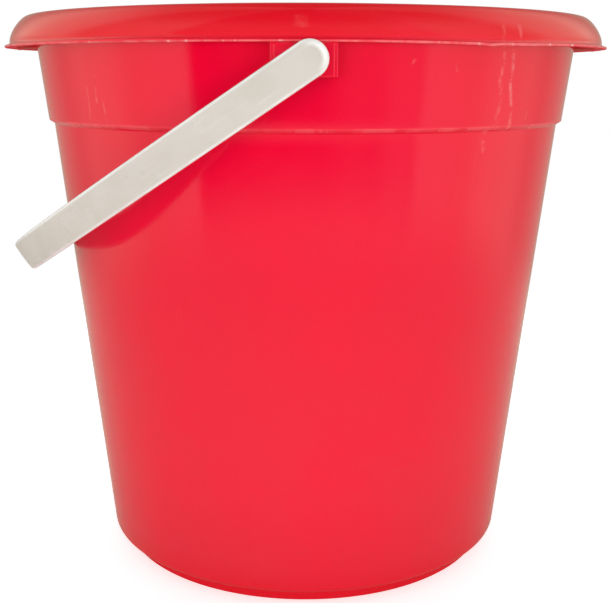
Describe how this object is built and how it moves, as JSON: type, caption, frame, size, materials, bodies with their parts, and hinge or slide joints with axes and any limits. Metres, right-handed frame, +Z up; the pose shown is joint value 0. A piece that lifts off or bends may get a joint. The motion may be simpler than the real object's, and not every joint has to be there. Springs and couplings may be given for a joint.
{
  "type": "sand bucket",
  "caption": "Tapered moulded sand bucket with a rolled rim, a step below it, a foot ring and a bail handle that swings on two snap pins.",
  "frame": {"origin": "centre of the circle that the foot ring stands on", "axes": "+Z up, the handle's pins along Y, the handle folded down towards -X"},
  "size_m": [0.22, 0.2314, 0.2],
  "materials": {
    "bucket_red": "satin moulded polypropylene, opaque red, fine grain",
    "handle_white": "satin moulded polypropylene, warm white"
  },
  "bodies": {
    "bucket": {"bucket": "bucket_red"},
    "handle": {"handle": "handle_white"}
  },
  "joints": [
    {"name": "handle_swing", "type": "hinge", "parent": "bucket", "child": "handle", "pos_m": [0, 0, 0.1835], "axis": [0, 1, 0], "range_deg": [0, 247.7]}
  ]
}
